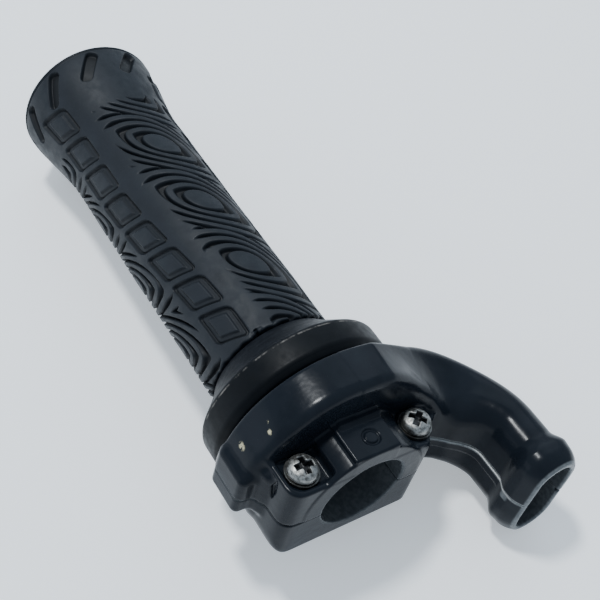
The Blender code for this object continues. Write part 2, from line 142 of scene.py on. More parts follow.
def rounded_box(p, low, high, rounding):
    low = np.array(low, float)
    high = np.array(high, float)
    centre = (low + high) / 2
    q = np.abs(p - centre) - (high - low) / 2 + rounding
    outside = np.sqrt((np.maximum(q, 0) ** 2).sum(axis=-1))
    return outside + np.minimum(q.max(axis=-1), 0) - rounding


def cylinder_x(p, radius, start, end, front_blend=0.3, back_blend=0.3):
    side = np.hypot(p[..., 1], p[..., 2]) - radius
    return meet(meet(side, p[..., 0] - end, front_blend), start - p[..., 0], back_blend)


def cylinder_z(p, x, y, radius, start, end, blend=0.3):
    side = np.hypot(p[..., 0] - x, p[..., 1] - y) - radius
    return meet(meet(side, p[..., 2] - end, blend), start - p[..., 2], blend)


def elbow_place(p):
    """Distance along the elbow's centre line, offset to its outer side, and height."""
    x = p[..., 0]
    y = p[..., 1]
    cx = ELBOW_X + BEND_RADIUS
    angle = np.arctan2(np.maximum(y - BEND_START, 1e-6), np.maximum(cx - x, 1e-6))
    radial = np.hypot(x - cx, y - BEND_START) - BEND_RADIUS
    along = BEND_START + BEND_RADIUS * angle
    root = y <= BEND_START
    mouth = (x >= cx) & ~root
    along = np.where(root, y, np.where(mouth, BEND_START + BEND_LENGTH + x - cx, along))
    across = np.where(root, ELBOW_X - x, np.where(mouth, y - BEND_START - BEND_RADIUS, radial))
    return along, across, p[..., 2] - SEAM_Z


def root_height(y, radius, rise, slope):
    """A flat just below the ring's top, a corner, and a straight line down to the elbow."""
    line = radius + rise - slope * y
    return -soft_max(-line, 0.40 - radius, 0.35)


def elbow_collar(along):
    """Distance past the back of the elbow's collar, how far it has risen, and how far it has fallen."""
    collar = along - ELBOW_COLLAR
    return collar, smooth_step(0, 4.6, collar), np.maximum((collar - 5.8) / 4.6, 0) ** 2


def elbow_profile(along):
    """The section at a distance along the elbow: sizes about the seam, roundings, shift and drop."""
    collar, crown, falling = elbow_collar(along)
    turn = np.clip((along - BEND_START) / BEND_RADIUS, 0, 1.5708)
    y = np.where(along < BEND_START, along, BEND_START + BEND_RADIUS * np.sin(turn))
    width = 5.6 + 1.0 * smooth_step(14, 36, along) + 1.4 * crown - 1.7 * falling
    bulge = 1.4 * smooth_step(14, 30, along) * (1 - smooth_step(38, 54, along))
    shift = bulge + 0.4 * crown * (1 - smooth_step(6.5, 10.4, collar))
    top = soft_max(root_height(y, RING_RADIUS, 4.4, 0.53) - SEAM_Z, 13.4, 3.4)
    bottom = soft_max(root_height(y, RING_LOWER_RADIUS, 3.65, 0.55) + SEAM_Z, 13.6, 1.8)
    drop = (0.8 + 4.8 * smooth_step(8, 29, along)) * smooth_step(3, 9, along)
    drop = drop * (1 - smooth_step(30, 52, along))
    inner_corner = 2.0 + 4.4 * smooth_step(24, 44, along)
    outer_corner = 1.0 + 5.4 * smooth_step(12, 46, along)
    grow = 1.3 * crown - 1.1 * falling
    return width + bulge, top + grow, bottom + grow, inner_corner, outer_corner, shift, drop


def section_distance(across, height, width, top, bottom, inner_corner, outer_corner, drop=0.0):
    """Signed distance to a rounded rectangle, with its own height on each side of the seam."""
    lean = drop * np.clip(0.5 - across / (2 * width), 0, 1)
    tall = np.where(height > 0, top - lean, bottom - 0.5 * lean)
    corner = np.minimum(np.where(across > 0, outer_corner, inner_corner), width - 0.1)
    qx = np.abs(across) - width + corner
    qz = np.abs(height) - tall + corner
    outside = np.hypot(np.maximum(qx, 0), np.maximum(qz, 0))
    return outside + np.minimum(np.maximum(qx, qz), 0) - corner


def elbow_outer(p, lower):
    along, across, height = elbow_place(p)
    width, top, bottom, inner_corner, outer_corner, shift, drop = elbow_profile(along)
    if lower:
        bead = 0.35 * smooth_step(26, 30, along)
        bead = bead * (1 - smooth_step(ELBOW_END - 9.8, ELBOW_END - 8.8, along))
        width = width + bead * (1 - smooth_step(2.5, 3.0, -height))
    body = section_distance(across + shift, height, width, top, bottom, inner_corner, outer_corner, drop)
    shaved = smooth_step(ELBOW_END - 20, ELBOW_END - 4, along)
    _, crown, falling = elbow_collar(along)
    swell = 1.4 * crown - 2.0 * falling
    slant = np.abs(0.88 * across + 0.47 * height) - 11.2 - swell - 20 * (1 - shaved)
    body = meet(body, slant, 3.0)
    return meet(meet(body, along - ELBOW_END, 0.5), 0.2 - along)


def elbow_inner(p):
    """The passage for the cables and the pocket in the mouth."""
    along, across, height = elbow_place(p)
    profile = elbow_profile(np.minimum(along, ELBOW_COLLAR))
    width, top, bottom, inner_corner, outer_corner, shift, drop = profile
    inner_corner = np.maximum(inner_corner - 1.6, 0.5)
    outer_corner = np.maximum(outer_corner - 1.6, 0.5)
    passage = section_distance(across + shift, height, width - WALL, top - WALL, bottom - WALL,
                               inner_corner, outer_corner, drop)
    passage = meet(meet(passage, along - (ELBOW_END - 7.0)), 6.0 - along)
    pocket = section_distance(across, height, 4.95, 12.6, 12.6, 4.4, 4.8)
    slant = np.abs(0.88 * across + 0.47 * height) - 9.0
    flare = 0.2 * smooth_step(ELBOW_END - 0.8, ELBOW_END + 0.3, along)
    pocket = meet(meet(pocket, slant, 3.0) - flare, ELBOW_END - 7.7 - along)
    return union(passage, pocket)


def clamp_block(p):
    """The block round the bore: square on the left, slanted back to the ring on the right."""
    x = p[..., 0]
    y = p[..., 1]
    z = p[..., 2]
    slant = (x * 6.5 + (y - CLAMP_RIGHT) * 12.3) / 13.91
    left = CLAMP_LEFT - y
    under = CLAMP_BOTTOM - z
    above = z - CLAMP_TOP
    upright = meet(left, x, 5.4)
    keel = meet(left, under, 6.5)
    block = meet(meet(upright, keel, 0.8), meet(slant, above, 4.5), 0.8)
    block = meet(block, meet(slant, x, 2.0), 0.6)
    block = meet(block, under, 0.9)
    block = meet(block, above, 0.7)
    return meet(block, -12.3 - x)


def saddle(p):
    """The arch over the bore, with the flat pad, its rib and a plain ring pressed into it."""
    arch = cylinder_x(p, 16.4, -12.0, 0.0, 0.6)
    pad = rounded_box(p, (-12.2, -6.7, 6.0), (-0.1, 6.0, 16.3), 0.45)
    rib = rounded_box(p, (-11.2, -5.6, 14.0), (-8.9, 6.4, 17.1), 0.75)
    mark = np.hypot(p[..., 0] + 4.6, p[..., 1] - 0.2)
    mark = meet(np.abs(mark - 1.9) - 0.32, np.abs(p[..., 2] - 16.4) - 0.4)
    return cut(union(union(arch, pad, 0.35), rib, 0.5), mark, 0.15)


def screw_pockets(p):
    """Room for the screw heads: an open step on the left, a round pocket on the right."""
    left = rounded_box(p, (-13.0, -20.7, SCREW_SEAT), (-1.5, -10.3, 30.0), 1.0)
    corner = np.hypot(np.maximum(p[..., 0] + 5.2, 0), np.minimum(p[..., 1] + 17.0, 0)) - 3.7
    left = meet(left, corner, 0.4)
    right = cylinder_z(p, SCREW_X, SCREW_Y, 4.9, SCREW_SEAT, 30.0, 0.6)
    return union(left, right)


def housing_outside(p, lower):
    """The ring with the clamp block, its ear, gusset and web, and the elbow."""
    radius = RING_LOWER_RADIUS if lower else RING_RADIUS
    ring = cylinder_x(p, radius, RING_BACK, RING_FRONT, 3.0, 0.9)
    body = union(ring, clamp_block(p), 1.5)
    if not lower:
        body = union(body, saddle(p), 0.7)
    ear = rounded_box(p, (RING_BACK + 0.3, -27.8, -7.8), (-10.8, -20.0, 5.6), 1.8)
    body = union(body, ear, 1.6)
    gusset = rounded_box(p, (-15.0, -23.2, -7.0), (-8.2, -18.0, 8.4), 1.6)
    body = union(body, gusset, 1.8)
    web = np.hypot(p[..., 0] + 9.4, p[..., 1] - 21.6) - 3.4
    body = union(body, meet(meet(web, np.abs(p[..., 2] + 2.5) - 11.0, 1.0), -14.0 - p[..., 0]), 1.5)
    if not lower:
        body = cut(body, meet(screw_pockets(p), RING_FRONT + 0.4 - p[..., 0]), 0.5)
        dent = np.abs(p[..., 0] + 6.9) + np.abs(p[..., 2] - 6.0) * 0.24 - 0.85
        body = cut(body, meet(dent, np.abs(p[..., 1] + 22.4) - 0.9), 0.1)
    return union(body, elbow_outer(p, lower), 0.8)


def housing_inside(p):
    """The bore, the drum's cavity, the tube's hole, the cable passage and the screw holes."""
    hollow = cylinder_x(p, BORE_RADIUS, -14.0, 3.0)
    mouth = np.hypot(p[..., 1], p[..., 2]) - BORE_RADIUS - 0.35 + np.maximum(-p[..., 0], 0) * 0.8
    hollow = union(hollow, meet(mouth, -0.8 - p[..., 0]))
    hollow = union(hollow, cylinder_x(p, CAVITY_RADIUS, CAVITY_BACK, CAVITY_FRONT))
    hollow = union(hollow, cylinder_x(p, TUBE_HOLE_RADIUS, -26.0, -20.0))
    hollow = union(hollow, elbow_inner(p))
    for side in (-1, 1):
        hole = cylinder_z(p, SCREW_X, side * SCREW_Y, SHANK_HOLE_RADIUS, -11.2, 40.0)
        hollow = union(hollow, hole)
    return hollow


def housing_half(p, lower):
    """One half, with a fine gap at the seam that shows only near the outside."""
    outside = housing_outside(p, lower)
    body = cut(outside, housing_inside(p), 0.25)
    gap = 0.02 + 0.11 * smooth_step(-1.1, -0.4, outside)
    side = p[..., 2] - SEAM_Z + gap if lower else SEAM_Z + gap - p[..., 2]
    body = meet(body, side, 0.35)
    if lower:
        notch = rounded_box(p, (18.5, 47.0, SEAM_Z - 0.7), (20.5, 51.0, SEAM_Z + 1.0), 0.2)
        body = cut(body, notch, 0.15)
    return body


# ------------------------------------------------------------------ meshes


def gradient(field, points, step=0.05):
    parts = []
    for axis in range(3):
        offset = np.zeros(3)
        offset[axis] = step
        parts.append((field(points + offset) - field(points - offset)) / (2 * step))
    return np.stack(parts, axis=-1)


def skin(name, field, low, high, voxel, settle=3):
    """Mesh a distance field's surface, and settle its points on the surface itself."""
    low = np.array(low, float) - 3 * voxel
    counts = np.ceil((np.array(high, float) + 3 * voxel - low) / voxel).astype(int)
    values = np.empty(counts, np.float32)
    ys, zs = np.meshgrid(low[1] + voxel * np.arange(counts[1]),
                         low[2] + voxel * np.arange(counts[2]), indexing="ij")
    for index in range(counts[0]):
        p = np.stack([np.full_like(ys, low[0] + voxel * index), ys, zs], axis=-1)
        values[index] = field(p)
    grid = openvdb.FloatGrid(voxel * 3)
    grid.copyFromArray(np.clip(values, -3 * voxel, 3 * voxel))
    points, quads = grid.convertToQuads(isovalue=0.0)
    points = low + np.array(points, float) * voxel
    for _ in range(settle):
        slope = gradient(field, points)
        length = np.maximum((slope ** 2).sum(axis=-1), 0.2)
        move = slope * (field(points) / length)[:, None]
        points -= np.clip(move, -0.3 * voxel, 0.3 * voxel)
    return mesh_object(name, points * MM, np.array(quads))


def mesh_object(name, points, faces):
    """A smooth shaded object, without loose points and with its faces turned outwards."""
    mesh = bpy.data.meshes.new(name)
    mesh.from_pydata([tuple(v) for v in points], [], [tuple(int(i) for i in f) for f in faces])
    mesh.update()
    shape = bmesh.new()
    shape.from_mesh(mesh)
    bmesh.ops.delete(shape, geom=[v for v in shape.verts if not v.link_faces], context="VERTS")
    if shape.calc_volume(signed=True) < 0:
        bmesh.ops.reverse_faces(shape, faces=shape.faces)
    shape.to_mesh(mesh)
    shape.free()
    mesh.shade_smooth()
    obj = bpy.data.objects.new(name, mesh)
    bpy.context.scene.collection.objects.link(obj)
    return obj


def point_places(obj):
    """The mesh's points in its own frame, in metres."""
    places = np.empty(len(obj.data.vertices) * 3)
    obj.data.vertices.foreach_get("co", places)
    return places.reshape(-1, 3)


def add_attribute(obj, name, values):
    attribute = obj.data.attributes.new(name, "FLOAT", "POINT")
    attribute.data.foreach_set("value", np.ascontiguousarray(values, np.float32))


def turned(name, profile, steps):
    """Turn a closed outline of (x, radius) points about the X axis."""
    angles = np.arange(steps) * 2 * math.pi / steps
    points = []
    for x, radius in profile:
        circle = [np.full(steps, x), radius * np.cos(angles), radius * np.sin(angles)]
        points.append(np.stack(circle, axis=-1))
    points = np.concatenate(points)
    faces = []
    rows = len(profile)
    for row in range(rows):
        after = (row + 1) % rows
        for step in range(steps):
            following = (step + 1) % steps
            faces.append((row * steps + step, row * steps + following,
                          after * steps + following, after * steps + step))
    obj = mesh_object(name, points * MM, faces)
    obj.data.set_sharp_from_angle(angle=math.radians(40))
    return obj


def arc(centre_x, centre_r, radius, start, end, count):
    """Points of an arc in an outline. Angles are in degrees, from +X towards larger radius."""
    angles = np.radians(np.linspace(start, end, count))
    return [(centre_x + radius * math.cos(a), centre_r + radius * math.sin(a)) for a in angles]


# ------------------------------------------------------------------ materials


class Nodes:
    """A material's node tree, with short ways to add and join nodes."""

    def __init__(self, name):
        self.material = bpy.data.materials.new(name)
        self.material.use_nodes = True
        self.tree = self.material.node_tree
        self.shader = self.tree.nodes["Principled BSDF"]
        self.place = self.tree.nodes.new("ShaderNodeTexCoord").outputs["Object"]

    def add(self, kind, inputs=(), **settings):
        node = self.tree.nodes.new(kind)
        for key, value in settings.items():
            setattr(node, key, value)
        for key, value in dict(inputs).items():
            if isinstance(value, bpy.types.NodeSocket):
                self.tree.links.new(value, node.inputs[key])
            else:
                node.inputs[key].default_value = value
        return node

    def noise(self, size_mm, detail, roughness=0.55):
        made = self.add("ShaderNodeTexNoise", {"Vector": self.place, "Scale": 1 / (size_mm * MM),
                                               "Detail": detail, "Roughness": roughness})
        return made.outputs["Fac"]

    def ramp(self, value, low, high, out_low=0.0, out_high=1.0):
        made = self.add("ShaderNodeMapRange", {"Value": value, "From Min": low, "From Max": high,
                                               "To Min": out_low, "To Max": out_high})
        made.interpolation_type = "SMOOTHSTEP"
        return made.outputs["Result"]

    def math(self, operation, a, b=0.0):
        return self.add("ShaderNodeMath", {0: a, 1: b}, operation=operation).outputs[0]

    def mix(self, share, a, b):
        made = self.add("ShaderNodeMix", data_type="RGBA")
        for index, value in ((0, share), (6, a), (7, b)):
            if isinstance(value, bpy.types.NodeSocket):
                self.tree.links.new(value, made.inputs[index])
            else:
                made.inputs[index].default_value = value if index == 0 else (*value, 1.0)
        return made.outputs[2]

    def attribute(self, name):
        return self.add("ShaderNodeAttribute", attribute_name=name).outputs["Fac"]

    def bump(self, height, depth_mm, strength, normal=None):
        inputs = {"Height": height, "Distance": depth_mm * MM, "Strength": strength}
        if normal:
            inputs["Normal"] = normal
        return self.add("ShaderNodeBump", inputs).outputs["Normal"]

    def finish(self, colour, roughness, normal=None, metallic=0.0, **constants):
        looks = {"Base Color": colour, "Roughness": roughness, "Metallic": metallic}
        for socket, value in looks.items():
            if isinstance(value, bpy.types.NodeSocket):
                self.tree.links.new(value, self.shader.inputs[socket])
            elif isinstance(value, tuple):
                self.shader.inputs[socket].default_value = (*value, 1.0)
            else:
                self.shader.inputs[socket].default_value = value
        if normal:
            self.tree.links.new(normal, self.shader.inputs["Normal"])
        for socket, value in constants.items():
            self.shader.inputs[socket.replace("_", " ")].default_value = value
        return self.material


def painted_black():
    """Gloss black paint with light orange peel, dust, worn edges, a rubbed rim, painted light on the
    inner walls and chips.
    """
    n = Nodes("painted_black")
    cloud = n.noise(14.0, 4.0)
    dust = n.ramp(n.noise(0.5, 5.0, 0.7), 0.60, 0.78)
    colour = n.mix(n.ramp(cloud, 0.35, 0.7), (0.0056, 0.0078, 0.0114), (0.0096, 0.0126, 0.0173))
    colour = n.mix(n.math("MULTIPLY", dust, 0.06), colour, (0.045, 0.050, 0.056))
    rubbed_and_painted_light = n.mix(n.ramp(n.noise(1.2, 4.0), 0.3, 0.7), (0.09, 0.10, 0.105), (0.15, 0.16, 0.165))
    # rubbed paint round the mouth, and painted light on the inner walls through the same mask
    colour = n.mix(n.attribute("rim"), colour, rubbed_and_painted_light)
    wear = n.math("MULTIPLY", n.attribute("wear"), n.ramp(n.noise(1.3, 4.0, 0.7), 0.22, 0.44))
    colour = n.mix(wear, colour, (0.33, 0.34, 0.34))
    chip = n.math("MULTIPLY", n.attribute("chip"), n.ramp(n.noise(0.9, 3.0, 0.6), 0.41, 0.50))
    colour = n.mix(chip, colour, (0.48, 0.44, 0.29))
    rough = n.ramp(n.noise(6.0, 5.0, 0.65), 0.3, 0.75, 0.17, 0.27)
    rough = n.math("ADD", rough, n.math("MULTIPLY", dust, 0.15))
    rough = n.math("ADD", rough, n.math("MULTIPLY", wear, 0.30))
    peel = n.bump(n.noise(3.2, 2.0, 0.5), 0.12, 0.5)
    return n.finish(colour, rough, peel, n.math("MULTIPLY", wear, 0.55), IOR=1.20)


def moulded_rubber():
    """Dusty dark rubber, with painted shade making it nearly black where the relief is deep."""
    n = Nodes("moulded_rubber")
    depth_for_painted_shade = n.attribute("depth")
    cloud = n.ramp(n.noise(9.0, 5.0, 0.6), 0.3, 0.72)
    colour = n.mix(cloud, (0.0048, 0.0072, 0.0108), (0.0076, 0.0108, 0.0154))
    colour = n.mix(n.ramp(n.noise(0.7, 4.0, 0.7), 0.56, 0.80, 0.0, 0.20), colour, (0.040, 0.046, 0.052))
    # painted shade: near black in the grooves, slots and sunk frames
    colour = n.mix(n.math("MULTIPLY", depth_for_painted_shade, 0.85), colour, (0.0014, 0.0021, 0.0031))
    rough = n.ramp(n.noise(3.0, 4.0, 0.6), 0.3, 0.7, 0.46, 0.62)
    grain = n.bump(n.noise(0.28, 3.0, 0.7), 0.030, 0.7)
    wavy = n.bump(n.noise(2.4, 3.0, 0.5), 0.05, 0.4, grain)
    return n.finish(colour, rough, wavy, IOR=1.34)


def matt_plastic(name, light, dark):
    """Lightly grained plastic with a little dust."""
    n = Nodes(name)
    colour = n.mix(n.ramp(n.noise(7.0, 5.0, 0.6), 0.3, 0.7), dark, light)
    colour = n.mix(n.ramp(n.noise(0.4, 4.0, 0.7), 0.60, 0.82, 0.0, 0.15), colour, (0.05, 0.055, 0.06))
    rough = n.ramp(n.noise(2.0, 4.0, 0.6), 0.3, 0.7, 0.42, 0.58)
    grain = n.bump(n.noise(0.25, 3.0, 0.6), 0.015, 0.6)
    return n.finish(colour, rough, grain, IOR=1.36)


def worn_steel():
    """Stained, pitted steel, with painted shade making the bottom of the cross recess black."""
    n = Nodes("worn_steel")
    stain = n.ramp(n.noise(1.1, 5.0, 0.7), 0.40, 0.66)
    colour = n.mix(stain, (0.36, 0.36, 0.345), (0.11, 0.108, 0.102))
    # painted shade: black, and below not metallic, at the bottom of the cross recess
    colour = n.mix(n.attribute("depth"), colour, (0.004, 0.004, 0.005))
    rough = n.ramp(n.noise(0.7, 4.0, 0.7), 0.3, 0.7, 0.30, 0.58)
    pits = n.bump(n.noise(0.35, 4.0, 0.7), 0.04, 0.45)
    metallic = n.ramp(n.attribute("depth"), 0.05, 0.6, 0.95, 0.0)
    return n.finish(colour, rough, pits, metallic)


def plain_metal(name, bright, dull, size=2.0):
    n = Nodes(name)
    colour = n.mix(n.ramp(n.noise(size, 5.0, 0.7), 0.35, 0.7), bright, dull)
    rough = n.ramp(n.noise(size / 2, 4.0, 0.7), 0.3, 0.7, 0.28, 0.50)
    return n.finish(colour, rough, n.bump(n.noise(0.3, 3.0, 0.6), 0.01, 0.5), 1.0)


def nylon():
    n = Nodes("nylon")
    colour = n.mix(n.ramp(n.noise(5.0, 4.0), 0.3, 0.7), (0.62, 0.60, 0.53), (0.50, 0.48, 0.42))
    rough = n.ramp(n.noise(2.0, 4.0), 0.3, 0.7, 0.40, 0.55)
    return n.finish(colour, rough, n.bump(n.noise(0.3, 3.0, 0.6), 0.01, 0.5), IOR=1.53)


# ------------------------------------------------------------------ housing pieces


def edge_wear(p, lower):
    """Bare metal along the seam: strong on the elbow, faint at the ear and the clamp's face."""
    along, across, height = elbow_place(p)
    outside = smooth_step(20, 23, along)
    seam = 1 - smooth_step(0.20, 0.42 if lower else 0.55, np.abs(height))
    inner_side = smooth_step(0.5, 3.0, -across)
    ear_side = 1 - smooth_step(-24, -20, p[:, 1])
    ear_seam = (1 - smooth_step(0.15, 0.4, np.abs(height))) * ear_side * 0.35
    face_side = smooth_step(-1.0, 0.0, p[:, 0])
    face_seam = (1 - smooth_step(0.12, 0.3, np.abs(height))) * face_side * 0.25
    return np.clip(np.maximum.reduce([seam * outside * inner_side, ear_seam, face_seam]), 0, 1)


def rubbed_rim_and_painted_light(p):
    """Rubbed paint round the elbow's mouth and on one small spot, and painted light that makes the walls
    inside lighter.
    """
    along = elbow_place(p)[0]
    rim = smooth_step(ELBOW_END - 0.75, ELBOW_END - 0.35, along)
    spot = rounded_box(p, (13.3, 32.0, SEAM_Z - 1.9), (15.3, 36.5, SEAM_Z - 0.6), 0.3)
    # painted light: the inner walls get the rubbed colour in place of light reaching into the bore and
    # passage
    dull = 0.45 * (1 - smooth_step(0.1, 0.5, np.abs(housing_inside(p))))
    return np.maximum.reduce([rim, 1 - smooth_step(0.0, 0.3, spot), dull])


CHIPS = ((-17.8, 159.0, 0.95), (-14.9, 141.5, 0.55), (-17.0, 139.5, 0.30))  # x, angle in degrees, size


def chips(p):
    """Small chips in the paint on the ring's outside."""
    amount = np.zeros(len(p))
    for x, angle, size in CHIPS:
        a = math.radians(angle)
        centre = np.array([x, RING_RADIUS * math.cos(a), RING_RADIUS * math.sin(a)])
        distance = np.sqrt((((p - centre) * (0.75, 1.0, 1.0)) ** 2).sum(axis=1))
        amount = np.maximum(amount, 1 - smooth_step(size * 0.6, size, distance))
    return amount


def make_housing(paint, voxel):
    for node, lower, low, high in (("housing_upper", False, HOUSING_LOW, HOUSING_HIGH),
                                   ("housing_lower", True, LOWER_LOW, LOWER_HIGH)):
        piece = skin("visual_" + node, lambda p, lower=lower: housing_half(p, lower), low, high, voxel)
        p = point_places(piece) / MM
        add_attribute(piece, "wear", edge_wear(p, lower))
        add_attribute(piece, "chip", chips(p))
        add_attribute(piece, "rim", rubbed_rim_and_painted_light(p))
        piece.data.materials.append(paint)
        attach(piece, "housing")
        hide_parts(node)


def screw_field(p, turn):
    """A pan head with a cross recess, its centre on the Z axis and its top at z = 0."""
    radial = np.hypot(p[..., 0], p[..., 1])
    z = p[..., 2]
    dome = np.hypot(radial * 0.62, np.maximum(z + HEAD_HEIGHT - 0.2, 0) * 1.04) - 2.62
    head = meet(meet(dome, radial - HEAD_RADIUS, 0.9), -HEAD_HEIGHT - z, 0.25)
    shank = meet(radial - 2.0, -23.0 - z, 0.8)
    body = union(head, meet(shank, z + HEAD_HEIGHT - 0.1), 0.1)
    c, s = math.cos(turn), math.sin(turn)
    u = np.abs(p[..., 0] * c + p[..., 1] * s)
    v = np.abs(-p[..., 0] * s + p[..., 1] * c)
    taper = np.clip(-z, 0, RECESS_DEPTH)
    long = 2.45 - 0.35 * taper
    wide = 0.68 - 0.06 * taper + 0.06 * np.maximum(u, v)
    arms = union(meet(u - long, v - wide, 0.15), meet(v - long, u - wide, 0.15), 0.5)
    recess = meet(arms, -RECESS_DEPTH - z, 0.3)
    return cut(body, recess, 0.18)


def make_screws(steel, voxel):
    for label, side, turn in (("left", -1, math.radians(-5)), ("right", 1, math.radians(40))):
        place = np.array([SCREW_X, side * SCREW_Y, HEAD_TOP])
        node = "clamp_screw_" + label
        piece = skin("visual_" + node, lambda p: screw_field(p - place, turn),
                     place + (-4.1, -4.1, -4.2), place + (4.1, 4.1, 0.1), voxel, settle=2)
        p = point_places(piece) / MM - place
        inside = np.hypot(p[:, 0], p[:, 1]) < 2.55
        # painted shade mask for the bottom of the cross recess
        depth = smooth_step(0.30, 0.75, -p[:, 2]) * inside
        add_attribute(piece, "depth", depth)
        piece.data.materials.append(steel)
        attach(piece, "housing")
        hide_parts(node)


# ------------------------------------------------------------------ grip


PITCH = 24.0           # between the pattern's eyes, along the grip
FIRST_EYE_X = -109.5
COLUMN_TURN = 120.0    # degrees between the columns of eyes
COLUMN_ANGLE = 85.5
EYE_SLANT = math.radians(43)
EYE_STEP = 1.95        # between the rings round an eye
BASE_RADIUS = 17.5
HOLE_RADIUS = 13.25
PATTERN_START = -132.0
FLARE = 3.1            # how much wider the outer end is
FLARE_BACK = -151.0    # the flare is full here
FLARE_FRONT = -123.0   # and gone here
DOME_START = -150.3    # the rounded outer end begins here
LIP_X = -149.6         # a fine groove beside it
GROOVE_DEPTH = 1.40
SLOT_STEP = 36.0       # degrees between the slots of the flared end
SLOT_X = -144.0


def ring_count(a, b, size_a, size_b, step_a, step_b, tip):
    """How many steps out from the smallest ring of an eye a point lies: rings are leaf shapes."""
    low = np.full(a.shape, -size_b / step_b + 0.01)
    high = np.full(a.shape, 14.0)
    for _ in range(13):
        middle = (low + high) / 2
        outside = (a / np.maximum(size_a + step_a * middle, 0.05)) ** 2
        outside = outside + (b / np.maximum(size_b + step_b * middle, 0.02)) ** tip > 1
        low = np.where(outside, middle, low)
        high = np.where(outside, high, middle)
    return low


def eye_grooves(u, v):
    """Signed distance to the nearest groove round one eye, and the eye's own level."""
    a = np.abs(u * math.cos(EYE_SLANT) - v * math.sin(EYE_SLANT))
    b = np.abs(u * math.sin(EYE_SLANT) + v * math.cos(EYE_SLANT))
    inner = ring_count(a, b, 5.6, 3.05, 5.1, EYE_STEP, 1.6)
    outer = ring_count(a, b, 8.8, 3.95, 5.3, EYE_STEP, 1.25)
    number = np.maximum(np.floor(inner), 0)
    here = np.maximum(number - inner, outer - number)
    after = np.maximum(number + 1 - inner, outer - number - 1)
    return np.minimum(here, after) * EYE_STEP, inner


def band_slide(x):
    """How far the bands have turned round the grip, in degrees: they run slightly askew."""
    return 20.0 * smooth_step(-106, -46, x)


def band_edges(x):
    """Half width of the patterned bands, in degrees, to their upper side and their lower side."""
    slide = band_slide(x)
    return 45.5 - slide, 27.0 + slide * 0.9


def grooves(x, angle):
    """How deep the grooves of the patterned bands are, from 0 to 1."""
    column = np.floor((angle - COLUMN_ANGLE) / COLUMN_TURN + 0.45)
    offset = angle - COLUMN_ANGLE - COLUMN_TURN * column
    v = np.radians(offset) * BASE_RADIUS
    stagger = 2.0 * np.mod(column, 3)
    best = np.full(x.shape, 99.0)
    level = np.full(x.shape, 99.0)
    nearest = np.round((x - FIRST_EYE_X - stagger) / PITCH)
    for step in (-1, 0, 1):
        place = FIRST_EYE_X + stagger + PITCH * (nearest + step)
        distance, count = eye_grooves(x - place, v)
        closer = count < level
        best = np.where(closer, distance, best)
        level = np.minimum(level, count)
    above, below = band_edges(x)
    ends = 1.3 * np.sin(np.floor(level) * 2.4 + x * 0.2)
    room = np.minimum(above - offset, offset + below + 12.0) * math.radians(1) * BASE_RADIUS
    room = room + ends * 0.5
    room = np.minimum(room, (x - PATTERN_START) * 1.2)
    taper = 0.75 * (1 - smooth_step(0.0, 5.0, room))
    depth = 1 - smooth_step(-0.36, 0.06, best + taper)
    return depth * smooth_step(0.0, 0.6, room)


def rounded_bar(u, v, half_long, half_wide, rounding):
    """Signed distance to a flat bar with rounded corners."""
    qu = np.abs(u) - half_long + rounding
    qv = np.abs(v) - half_wide + rounding
    return np.hypot(np.maximum(qu, 0), np.maximum(qv, 0)) + np.minimum(np.maximum(qu, qv), 0) - rounding


FRAME_PITCH = 12.2
FIRST_FRAME_X = -134.5
LAST_FRAME = 7


def sunk_frames(x, angle):
    """Plain slanted frames sunk into the smooth bands between the columns of eyes."""
    centre = COLUMN_ANGLE + 70.5 - band_slide(x)
    offset = (angle - centre + COLUMN_TURN / 2) % COLUMN_TURN - COLUMN_TURN / 2
    v = np.radians(offset) * BASE_RADIUS
    u = x + 0.45 * v
    number = np.clip(np.round((u - FIRST_FRAME_X) / FRAME_PITCH), 0, LAST_FRAME)
    middle = FIRST_FRAME_X + FRAME_PITCH * number
    distance = rounded_bar(u - middle, v, 4.7, 4.0, 1.2)
    outline = 1 - smooth_step(0.20, 0.55, np.abs(distance))
    sunk = 0.42 * (1 - smooth_step(-0.30, 0.15, distance))
    near_edge = smooth_step(-1.9, -1.3, distance)
    return np.maximum(outline * 0.7, sunk * near_edge)


def end_slots(x, angle):
    """Ten slanted slots round the grip's flared end."""
    u = x - SLOT_X
    offset = (angle - 104.0 + SLOT_STEP / 2) % SLOT_STEP - SLOT_STEP / 2
    v = np.radians(offset) * (BASE_RADIUS + 0.6)
    turn = math.radians(33)
    along = u * math.cos(turn) + v * math.sin(turn)
    across = v * math.cos(turn) - u * math.sin(turn)
    distance = rounded_bar(along, across, 5.3, 1.65, 1.4)
    return 1 - smooth_step(-0.30, 0.10, distance)


